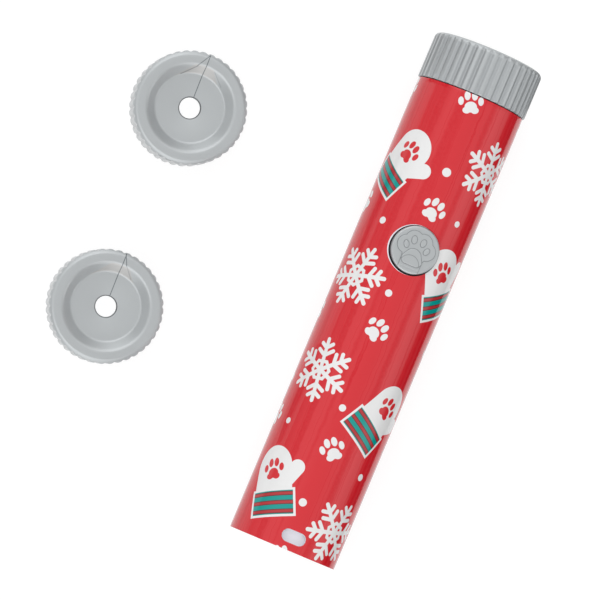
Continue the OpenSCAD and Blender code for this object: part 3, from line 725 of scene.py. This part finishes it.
def head_mesh():
    """One head along +Z, its back at nought. The ribs fade where they run out on the front edge."""
    floor_z = head_len - dish_depth
    ceiling_z = floor_z - dish_floor
    rim_corner = (head_r - rim_width, head_len)
    floor_corner = (head_r - rim_width - dish_slope, floor_z)
    wall_len = head_len - front_edge - back_edge
    wall_rows = [back_edge + wall_len * i / wall_steps for i in range(1, wall_steps)]
    profile = [(socket_r, 0)]
    profile += arc_points((head_r - back_edge, back_edge), back_edge, -90, 0, steps=4)
    profile += [(head_r, z) for z in wall_rows]
    profile += arc_points((head_r - front_edge, head_len - front_edge), front_edge, 0, 90, steps=12)
    profile += rounded((head_r, head_len), rim_corner, floor_corner, rim_blend, steps=6)
    profile += rounded(rim_corner, floor_corner, (aperture_r, floor_z), dish_blend, steps=5)
    hole_corner, hole_back = (aperture_r, floor_z), (aperture_r, ceiling_z)
    profile += rounded(floor_corner, hole_corner, hole_back, aperture_edge, steps=3)
    profile += [
        hole_back,
        (boss_inner_r, ceiling_z),
        (boss_inner_r, socket_len),
        (boss_inner_r + boss_wall, socket_len),
        (boss_inner_r + boss_wall, ceiling_z),
        (socket_r - socket_step, ceiling_z),
        (socket_r - socket_step, socket_len),
        (socket_r, socket_len),
    ]
    bm = lathe(profile, rib_count * steps_per_rib)
    for v in bm.verts:
        reach = math.hypot(v.co.x, v.co.y)
        if reach > head_r - rib_depth:
            share = math.atan2(v.co.y, v.co.x) * rib_count / (2 * math.pi)
            from_crest = abs(share - round(share)) * rib_pitch
            from_groove = min(1, (rib_pitch / 2 - from_crest) / groove_half)
            groove = rib_depth * (0.5 + 0.5 * math.cos(math.pi * from_groove))
            limit = min(reach, head_r - groove - crest_fall * (2 * from_crest / rib_pitch) ** 2)
            v.co.x *= limit / reach
            v.co.y *= limit / reach
    return bm


# Silver plastic: fine bright flakes in grey, with the dark weld lines that the melt leaves between
# the beam hole and the rim. A painted highlight is fanned out round the welds on the dish's slope,
# and painted shade lies in the ribs' grooves and on the beam hole's wall
silver = (0.467, 0.490, 0.500)
silver_metallic = 0.38
# Each as a spread and a least: the flakes' shade, the clouds' shade and the roughness
fleck_shade = (0.008, 0.996)
cloud_shade = (0.04, 0.98)
silver_rough = (0.005, 0.277)
grain_strength = 0.01
grain_height = 0.01 * MM
weld_dark = (0.13, 0.148, 0.158, 1)
weld_half_width = 0.085
# A painted highlight: a paler fan on the dish's slope near the welds
fan_highlight = (0.475, 0.474, 0.468, 1)
fan_tip = (-0.44, 12.1)
fan_half_angle = math.radians(39)
fan_len = 7.0
# Painted shade on the beam hole's wall and round its edge
hole_wall_shade = (0.10, 0.11, 0.115, 1)
groove_shade = (0.36, 0.378, 0.39, 1)
# Painted shade in the ribs' grooves, darkest on their flanks: its amount is a curve of the depth
flank_rise = 2.5
flank_fall = -1.9
ribbed_depth = 1.4 * rib_depth
hole_shade_r = aperture_r + 1.4 * aperture_edge

plastic_group, given, result = new_group(
    "silver_plastic",
    {"Place": "Vector"},
    {"Color": "Color", "Roughness": "Float", "Height": "Float"},
)
tree = plastic_group
flakes = add(tree, "ShaderNodeTexVoronoi", {"Vector": given["Place"], "Scale": 9.0})
flakes = add(tree, "ShaderNodeSeparateColor", (flakes.outputs["Color"],)).outputs
fleck = maths(tree, "MULTIPLY_ADD", flakes[0], *fleck_shade)
cloud = noise(tree, given["Place"], scale=0.16, detail=3.0)
cloud = maths(tree, "MULTIPLY_ADD", cloud, *cloud_shade)
level = times(tree, fleck, cloud)
tree.links.new(scaled(tree, silver, level), result["Color"])
tree.links.new(maths(tree, "MULTIPLY_ADD", flakes[1], *silver_rough), result["Roughness"])
tree.links.new(noise(tree, given["Place"], scale=5.0, detail=2.0), result["Height"])


def silver_material(name, place, markings):
    """Silver plastic for one piece, its colour marked, painted shade too, in its own millimetres.
    """
    material, tree = empty_material(name)
    own = place.inverted()
    spot = own_spot(tree, own.translation / MM, own.to_euler())
    plastic = use_group(tree, plastic_group, Place=spot).outputs
    surfaced(tree, {
        "Base Color": markings(tree, spot, plastic["Color"]),
        "Roughness": plastic["Roughness"],
        "Metallic": silver_metallic,
        "Normal": bumped(tree, plastic["Height"], grain_strength, grain_height),
    })
    return material


def head_markings(weld_lines):
    """Weld lines are strokes on a head's face, each with its start, angle, length and strength."""
    def mark(tree, spot, colour):
        flat = vectors(tree, "MULTIPLY", spot, (1, 1, 0))
        height = split(tree, spot)["Z"]
        reach = vectors(tree, "LENGTH", flat)
        groove = maths(tree, "DIVIDE", maths(tree, "SUBTRACT", head_r / MM, reach), rib_depth / MM)
        flank_shade = times(tree, groove, maths(tree, "MULTIPLY_ADD", groove, flank_fall, flank_rise))
        side = maths(tree, "GREATER_THAN", reach, (head_r - ribbed_depth) / MM)
        behind = maths(tree, "LESS_THAN", height, (head_len - front_edge) / MM)
        side = times(tree, side, behind)
        # Painted shade in the grooves of the ribbed side
        colour = over(tree, times(tree, flank_shade, side, clamp=True), colour, groove_shade)
        # Painted highlight fanned out on the dish's slope
        apex = split(tree, vectors(tree, "SUBTRACT", flat, (*fan_tip, 0)))
        bearing = maths(tree, "ARCTAN2", apex["X"], times(tree, apex["Y"], -1))
        highlight_fan = maths(tree, "LESS_THAN", maths(tree, "ABSOLUTE", bearing), fan_half_angle)
        slope_r = (head_r - rim_width - dish_slope / 2) / MM
        slope = maths(tree, "ABSOLUTE", maths(tree, "SUBTRACT", reach, slope_r))
        slope = inked(tree, slope, dish_slope / MM / 2)
        near = maths(tree, "GREATER_THAN", apex["Y"], -fan_len)
        highlight_fan = times(tree, times(tree, highlight_fan, slope), near)
        colour = over(tree, highlight_fan, colour, fan_highlight)
        for start, degrees, length, strength in weld_lines:
            line = inked(tree, stroke(tree, flat, start, degrees, length, weld_half_width))
            colour = over(tree, times(tree, line, strength), colour, weld_dark)
        # Painted shade on the beam hole's wall
        wall = inked(tree, reach, hole_shade_r / MM)
        return over(tree, wall, colour, hole_wall_shade)
    return mark


along_tube = Matrix.Rotation(-math.pi / 2, 4, "X")
head_places = {"head": Matrix.Translation((axis_x, head_low.y, axis_z)) @ along_tube}
for body in ("spare_head_1", "spare_head_2"):
    low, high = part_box(body + "_shell")
    head_places[body] = Matrix.Translation(((low.x + high.x) / 2, (low.y + high.y) / 2, low.z))
main_weld = ((-0.1, 2.3), 91.5, 10.1, 1.0)
second_welds = {
    "head": [],
    "spare_head_1": [
        ((-0.44, 12.3), 240.4, 3.5, 0.85),
        ((-2.07, 9.23), 227.5, 4.1, 0.65),
        ((1.87, 9.41), 317.4, 3.7, 0.3),
    ],
    "spare_head_2": [((-0.43, 12.3), 294.4, 2.5, 0.9), ((0.55, 10.07), 312.4, 3.4, 0.4)],
}
for body, place in head_places.items():
    bm = head_mesh()
    bmesh.ops.transform(bm, matrix=place, verts=bm.verts)
    welds = head_markings([main_weld] + second_welds[body])
    name = "pattern_head" if body == "head" else body
    head = new_object(name, bm, silver_material(name + "_plastic", place, welds))
    head.modifiers.new("shaded", "WEIGHTED_NORMAL").keep_sharp = True
    finish_piece(head, body, "head_plastic", body + "_shell")

# Thumb button
# A round cap of the same silver plastic, with a raised paw on its face, a keeping lip under the
# tube and a stem down to the switch.
button_x = (button_low.x + button_high.x) / 2
cap_slip = (0.12 * MM, 0.16 * MM)
button_r = 5.4 * MM
button_edge = 0.4 * MM
button_steps = 96
relief_h = 0.4 * MM
face_border = 0.9 * MM
lip_r = (button_high.x - button_low.x) / 2
lip_t = 0.8 * MM
lip_gap = 0.15 * MM
stem_r = 1.8 * MM
face_z = button_high.z - relief_h
lip_top = axis_z + math.sqrt((tube_r - tube_wall) ** 2 - lip_r ** 2) - lip_gap
lip_low = lip_top - lip_t
profile = [(0, button_low.z), (stem_r, button_low.z), (stem_r, lip_low), (lip_r, lip_low)]
profile += [(lip_r, lip_top), (button_r, lip_top)]
profile += arc_points((button_r - button_edge, face_z - button_edge), button_edge, 0, 90, steps=6)
profile += [(button_r - face_border, face_z), (0, face_z)]
bm = lathe(profile, button_steps)

# The paw: a low plate on a wrist, and on it a pad with a round step, and four toes that lean out.
# Each lobe, toe and heel: its place and its radius
paw_unit = 1.05 * MM
lobe_step = 0.575
paw_pad = [(x * lobe_step, -2.3, 1.15) for x in (-2, -1, 0, 1, 2)]
paw_pad += [(-lobe_step, -1.95, 1.475), (lobe_step, -1.95, 1.475), (0, -1.6, 1.8)]
paw_pad = [tuple(v * paw_unit for v in lobe) for lobe in paw_pad]
paw_toes = [(-2.3, 0.5, 0.65), (-1.03, 1.9, 0.7), (1.03, 1.9, 0.7), (2.3, 0.5, 0.65)]
paw_toes = [tuple(v * paw_unit for v in toe) for toe in paw_toes]
toe_lean = -190
toe_wide = 0.88
toe_long = 1.25
heel = tuple(v * paw_unit for v in (-0.19, -3.43, 2.1))
heel_inset = 0.12 * MM
heel_rise = 0.12 * MM
pad_middle = -1.8 * paw_unit
heel_middle = -2.5 * paw_unit
wrist_half = 2.3 * paw_unit
wrist_low = -4.05 * paw_unit
wrist_from = -0.5
paw_margin = 1.35 * MM
plate_spots = [(x, y, r + paw_margin) for x, y, r in paw_toes]
plate_spots.append((0, -0.7 * paw_unit, 2.6 * paw_unit))


def raised(bm, outline, base_z, height, edge, points):
    """A low island on the button's face. Its outline gives a place at each angle."""
    made = bmesh.ops.create_circle(bm, cap_ends=True, segments=points, radius=1)["verts"]
    for v in made:
        v.co = Vector((*outline(math.atan2(v.co.y, v.co.x)), base_z))
    base = next(iter(set.intersection(*[set(v.link_faces) for v in made])))
    top = bmesh.ops.extrude_face_region(bm, geom=[base])["geom"]
    bmesh.ops.translate(bm, vec=(0, 0, height), verts=verts_in(top))
    ease(bm, [g for g in top if isinstance(g, bmesh.types.BMEdge)], edge)


def lobed(centre, *lobes):
    """The outline round some lobes, as seen from a centre inside them."""
    centre = Vector(centre)

    def at(angle):
        way = Vector((math.cos(angle), math.sin(angle)))
        reach = 0
        for x, y, r in lobes:
            to_lobe = Vector((x, y)) - centre
            along = way.dot(to_lobe)
            aside = r ** 2 - to_lobe.length_squared + along ** 2
            if aside > 0:
                reach = max(reach, along + math.sqrt(aside))
        return centre + way * reach
    return at


def on_wrist(outline, half_width, low):
    """The same outline, let down to a straight wrist."""
    def at(angle):
        place = outline(angle)
        if math.sin(angle) < wrist_from:
            way = Vector((math.cos(angle), math.sin(angle)))
            box = min(half_width / max(abs(way.x), 1e-6), low / way.y)
            return max(place, way * box, key=lambda p: p.length)
        return place
    return at


def toe_outline(x, y, r):
    """A toe, longer than wide, that leans out from the paw's middle."""
    lean = Matrix.Rotation(toe_lean * x, 2)

    def at(angle):
        upright = Vector((toe_wide * r * math.cos(angle), toe_long * r * math.sin(angle)))
        return lean @ upright + Vector((x, y))
    return at


def heel_outline(angle):
    """The pad's lower part, which stands a little higher, up to a round step across the pad."""
    heart = (heel[0], heel_middle)
    inner = lobed(heart, *[(x, y, r - heel_inset) for x, y, r in paw_pad])(angle)
    arch = lobed(heart, heel)(angle)
    return min(inner, arch, key=lambda p: (p - Vector(heart)).length)


plate = on_wrist(lobed((0, 0), *plate_spots), wrist_half, wrist_low)
pad = lobed((0, pad_middle), *paw_pad)
layer_h = relief_h * 0.75
layer_sunk = relief_h / 4
pad_ease = 0.16 * MM
bm_face = bmesh.new()
raised(bm_face, plate, -layer_sunk, layer_h, edge=0.1 * MM, points=144)
raised(bm_face, pad, layer_sunk, layer_h, pad_ease, points=96)
raised(bm_face, heel_outline, relief_h - heel_rise, 2 * heel_rise, edge=0.05 * MM, points=96)
for toe in paw_toes:
    raised(bm_face, toe_outline(*toe), layer_sunk, layer_h, pad_ease, points=40)
bmesh.ops.recalc_face_normals(bm_face, faces=bm_face.faces)
bmesh.ops.translate(bm_face, vec=(0, 0, face_z), verts=bm_face.verts)
absorb(bm, bm_face)
cap_place = Matrix.Translation((button_x + cap_slip[0], button_y + cap_slip[1], 0))
bmesh.ops.transform(bm, matrix=cap_place, verts=bm.verts)
# Painted shade: thin dark lines round the paw's raised parts
crease_half_width = 0.06
crease_shade_dark = (0.25, 0.265, 0.275, 1)
# Painted shade: the lip, the stem and the cap's foot near black, for the gap round the cap
lip_shade_dark = (0.02, 0.02, 0.022, 1)
lip_shade_top = lip_top / MM + 0.4


def paw_crease_shade(tree, spot, colour):
    """Painted shade round the paw's plate, pad and toes where they rise, and on the lip and stem.
    """
    flat = vectors(tree, "MULTIPLY", spot, (1, 1, 0))
    part = split(tree, spot)

    def round_spots(spots):
        spots = [[v / MM for v in spot] for spot in spots]
        return union(tree, *[oval(tree, flat, (x, y), (r, r)) for x, y, r in spots])

    toes = []
    for x, y, r in paw_toes:
        moved = vectors(tree, "SUBTRACT", flat, (x / MM, y / MM, 0))
        upright = spun(tree, moved, -toe_lean * x)
        toes.append(oval(tree, upright, (0, 0), (toe_wide * r / MM, toe_long * r / MM)))
    wrist = maths(tree, "SUBTRACT", maths(tree, "ABSOLUTE", part["X"]), wrist_half / MM)
    wrist = maths(tree, "MAXIMUM", wrist, part["Y"])
    plate_edge = maths(tree, "MINIMUM", round_spots(plate_spots), wrist)
    pad_edge = round_spots(paw_pad)
    step = maths(tree, "MAXIMUM", maths(tree, "ABSOLUTE", round_spots([heel])), pad_edge)
    edges = [maths(tree, "ABSOLUTE", edge) for edge in (plate_edge, pad_edge, union(tree, *toes))]
    edges.append(step)
    # Painted shade where the paw's parts rise from the cap
    crease_shade = inked(tree, union(tree, *edges), crease_half_width)
    on_face = maths(tree, "GREATER_THAN", part["Z"], (face_z - button_edge) / MM)
    colour = over(tree, times(tree, crease_shade, on_face), colour, crease_shade_dark)
    # Painted shade: near black below just above the lip, for the shaded gap round the cap
    return over(tree, maths(tree, "LESS_THAN", part["Z"], lip_shade_top), colour, lip_shade_dark)


button_plastic = silver_material("button_plastic", cap_place, paw_crease_shade)
button = new_object("thumb_button", bm, button_plastic)
button.modifiers.new("shaded", "WEIGHTED_NORMAL").keep_sharp = True
finish_piece(button, "button", "button_plastic", "button_cap")

# Button spring
# A coil of plated wire round the button's stem, standing on the floor of its well.
spring_low, spring_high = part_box("button_spring")
spring_turns = 4.5
wire_r = 0.2 * MM
spring_r = 3.6 * MM
steps_per_turn = 28
wire_sides = 10
spring_rise = spring_high.z - spring_low.z - 2 * wire_r
spring_steps = int(spring_turns * steps_per_turn)
bm = bmesh.new()
ring = bmesh.ops.create_circle(bm, cap_ends=True, segments=wire_sides, radius=wire_r)["verts"]
bmesh.ops.rotate(bm, verts=ring, cent=(0, 0, 0), matrix=Matrix.Rotation(math.pi / 2, 3, "X"))
bmesh.ops.translate(bm, vec=(spring_r, 0, spring_low.z + wire_r), verts=ring)
bmesh.ops.spin(
    bm, geom=bm.verts[:] + bm.edges[:] + bm.faces[:], axis=(0, 0, 1), cent=(0, 0, 0),
    dvec=(0, 0, spring_rise / spring_steps), angle=2 * math.pi * spring_turns, steps=spring_steps,
    use_merge=False, use_normal_flip=False, use_duplicate=False,
)
bmesh.ops.remove_doubles(bm, verts=bm.verts, dist=fine_merge)
bmesh.ops.recalc_face_normals(bm, faces=bm.faces)
bmesh.ops.translate(bm, vec=(button_x, button_y, 0), verts=bm.verts)

# A fine grain in millimetres that the inner pieces share, as a shade and a height
grain_depth = 0.02 * MM
rough_spread = 0.16
grain_group, given, result = new_group(
    "fine_grain",
    {"Place": "Vector", "Scale": "Float", "Stretch": "Vector"},
    {"Shade": "Float", "Height": "Float"},
)
tree = grain_group
stretched = vectors(tree, "MULTIPLY", given["Place"], given["Stretch"])
fine = noise(tree, stretched, given["Scale"], detail=4.0)
broad = noise(tree, given["Place"], scale=0.25, detail=2.0)
shade = maths(tree, "MULTIPLY_ADD", broad, 0.5, times(tree, fine, 0.5))
tree.links.new(shade, result["Shade"])
tree.links.new(fine, result["Height"])


def grained(name, dark, light, roughness, metallic=0, scale=3.0, stretch=(1, 1, 1), depth=0.15):
    """A moulded or metal finish: two shades of a colour, mixed and roughened by a grain."""
    material, tree = empty_material(name)
    grain = use_group(tree, grain_group, Place=own_spot(tree), Scale=scale, Stretch=stretch).outputs
    smoothest = roughness - rough_spread / 2
    surfaced(tree, {
        "Base Color": over(tree, grain["Shade"], (*dark, 1), (*light, 1)),
        "Roughness": maths(tree, "MULTIPLY_ADD", grain["Shade"], rough_spread, smoothest),
        "Metallic": metallic,
        "Normal": bumped(tree, grain["Height"], depth, grain_depth),
    })
    return material


spring_steel = grained(
    "spring_steel", (0.42, 0.42, 0.40), (0.66, 0.65, 0.62), 0.28, metallic=1, scale=6.0
)
spring = new_object("button_return_spring", bm, spring_steel)
finish_piece(spring, "pointer", "spring_steel", "button_spring")
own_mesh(spring)

# Nose and heads' insides
# The black collar and its rubber ring take the head. Behind each beam hole a clear pressed disc
# spreads the beam, held by a push-in ring.
eased_angle = math.radians(40)
fine_edge = 0.06 * MM


def dress(material, edge, *nodes):
    """Gives solids their finish, with their loose faces joined and their sharp edges eased."""
    for node in nodes:
        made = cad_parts[node]
        made.data.materials.clear()
        made.data.materials.append(material)
        made.modifiers.new("joined", "WELD").merge_threshold = fine_merge
        if edge:
            bevel = made.modifiers.new("eased", "BEVEL")
            bevel.width = edge
            bevel.segments = 2
            bevel.limit_method = "ANGLE"
            bevel.angle_limit = eased_angle
        made.modifiers.new("shaded", "WEIGHTED_NORMAL").keep_sharp = True


black_plastic = grained(
    "black_plastic", (0.018, 0.018, 0.020), (0.040, 0.040, 0.043), 0.42, scale=5.0
)
rubber = grained("rubber", (0.012, 0.012, 0.012), (0.030, 0.030, 0.030), 0.62, scale=7.0)
dress(black_plastic, 0.15 * MM, "nose_collar")
dress(rubber, 0, "nose_o_ring")

disc_material, tree = empty_material("pattern_disc")
cells = add(tree, "ShaderNodeTexVoronoi", {"Vector": own_spot(tree), "Scale": 7.0})
cells = cells.outputs["Distance"]
surfaced(tree, {
    "Base Color": over(tree, cells, (0.95, 0.96, 0.97, 1), (1, 1, 1, 1)),
    "Roughness": 0.03,
    "IOR": 1.15,
    "Transmission Weight": 1.0,
    "Normal": bumped(tree, cells, 0.1, 0.01 * MM),
})
for body in head_places:
    dress(disc_material, 0.05 * MM, body + "_pattern_disc")
    dress(black_plastic, 0.05 * MM, body + "_disc_ring")

# Laser module
# A turned brass barrel in the collar, with the diode pressed into its back, and the lens held
# against its spring by a slotted brass nut.
brass = grained(
    "turned_brass", (0.52, 0.34, 0.11), (0.74, 0.53, 0.22), 0.26,
    metallic=1, scale=2.0, stretch=(0.3, 9, 0.3), depth=0.25,
)
gold = grained("gilt_can", (0.62, 0.45, 0.16), (0.80, 0.62, 0.28), 0.22, metallic=1, scale=4.0)
board_green = grained("solder_mask", (0.008, 0.085, 0.035), (0.02, 0.17, 0.07), 0.32, scale=0.8)
dress(brass, 0.1 * MM, "laser_barrel")
dress(brass, fine_edge, "lens_nut")
dress(gold, fine_edge, "laser_diode")
dress(spring_steel, 0, "lens_spring")
dress(board_green, fine_edge, "driver_board")

lens_material, tree = empty_material("lens_glass")
haze = noise(tree, own_spot(tree), scale=0.9, detail=2.0)
surfaced(tree, {
    "Base Color": (0.93, 0.96, 0.97, 1),
    "Roughness": times(tree, haze, 0.06),
    "IOR": 1.5,
    "Transmission Weight": 1.0,
})
dress(lens_material, 0, "collimator_lens")

# Chassis, board and switch
# Two pale moulded half shells, screwed together from below, hold the green board with its push
# switch under the button. Two leads go on to the laser module.
sheet_edge = 0.04 * MM
pale_plastic = grained("pale_plastic", (0.50, 0.49, 0.54), (0.64, 0.63, 0.68), 0.44, scale=4.0)
zinc = grained("zinc_plate", (0.40, 0.41, 0.42), (0.62, 0.63, 0.64), 0.30, metallic=1, scale=5.0)
nickel = grained(
    "nickel_sheet", (0.52, 0.51, 0.48), (0.72, 0.70, 0.66), 0.24, metallic=1, stretch=(1, 1, 12)
)
red_sleeve = grained("red_sleeve", (0.36, 0.010, 0.012), (0.52, 0.022, 0.024), 0.45, scale=6.0)
dress(pale_plastic, 0.12 * MM, "chassis_lower", "chassis_upper")
dress(zinc, fine_edge, "chassis_screws")
dress(board_green, fine_edge, "circuit_board")
dress(black_plastic, fine_edge, "board_components", "switch_body", "switch_plunger")
dress(red_sleeve, 0, "lead_red")
dress(rubber, 0, "lead_black")
dress(nickel, sheet_edge, "front_positive_contact", "front_negative_contact")
dress(spring_steel, 0, "front_contact_spring")

# Battery sled
# A pale moulding with a bed for each AAA cell, screwed to the plug that closes the tail. A nickel
# plate and a spring join the cells there.
white_plastic = grained("white_plastic", (0.90, 0.90, 0.95), (0.95, 0.95, 0.99), 0.40, scale=4.0)
dress(pale_plastic, 0.15 * MM, "battery_sled")
dress(white_plastic, 0.2 * MM, "tail_plug")
dress(zinc, fine_edge, "tail_plug_screws")
dress(nickel, sheet_edge, "tail_contact_plate")
dress(spring_steel, 0, "tail_contact_spring")
cell_sleeve = (0.020, 0.055, 0.050, 1)
cell_band = (0.55, 0.57, 0.58, 1)
cell_metal = (0.60, 0.60, 0.58, 1)
band_len = 9.0
tip_len = 1.6
end_len = 0.35
cell_rough = 0.20
cell_rough_spread = 0.12
for node, forward in (("battery_left", 1), ("battery_right", -1)):
    low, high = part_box(node)
    button_end = high.y if forward > 0 else low.y
    cell_material, tree = empty_material(node + "_sleeve")
    spot = own_spot(tree, (0, -button_end / MM, 0))
    back = times(tree, split(tree, spot)["Y"], -forward)
    band = maths(tree, "LESS_THAN", back, band_len)
    tip = maths(tree, "LESS_THAN", back, tip_len)
    end = maths(tree, "GREATER_THAN", back, (high.y - low.y) / MM - end_len)
    metal = maths(tree, "MAXIMUM", tip, end)
    colour = over(tree, band, cell_sleeve, cell_band)
    colour = over(tree, metal, colour, cell_metal)
    grain = use_group(tree, grain_group, Place=spot, Scale=1.5, Stretch=(1, 0.1, 1)).outputs
    rough = maths(tree, "MULTIPLY_ADD", grain["Shade"], cell_rough_spread, cell_rough)
    surfaced(tree, {"Base Color": colour, "Roughness": rough, "Metallic": metal})
    dress(cell_material, 0.1 * MM, node)

# Picture settings
bpy.context.scene.view_settings.view_transform = "Standard"
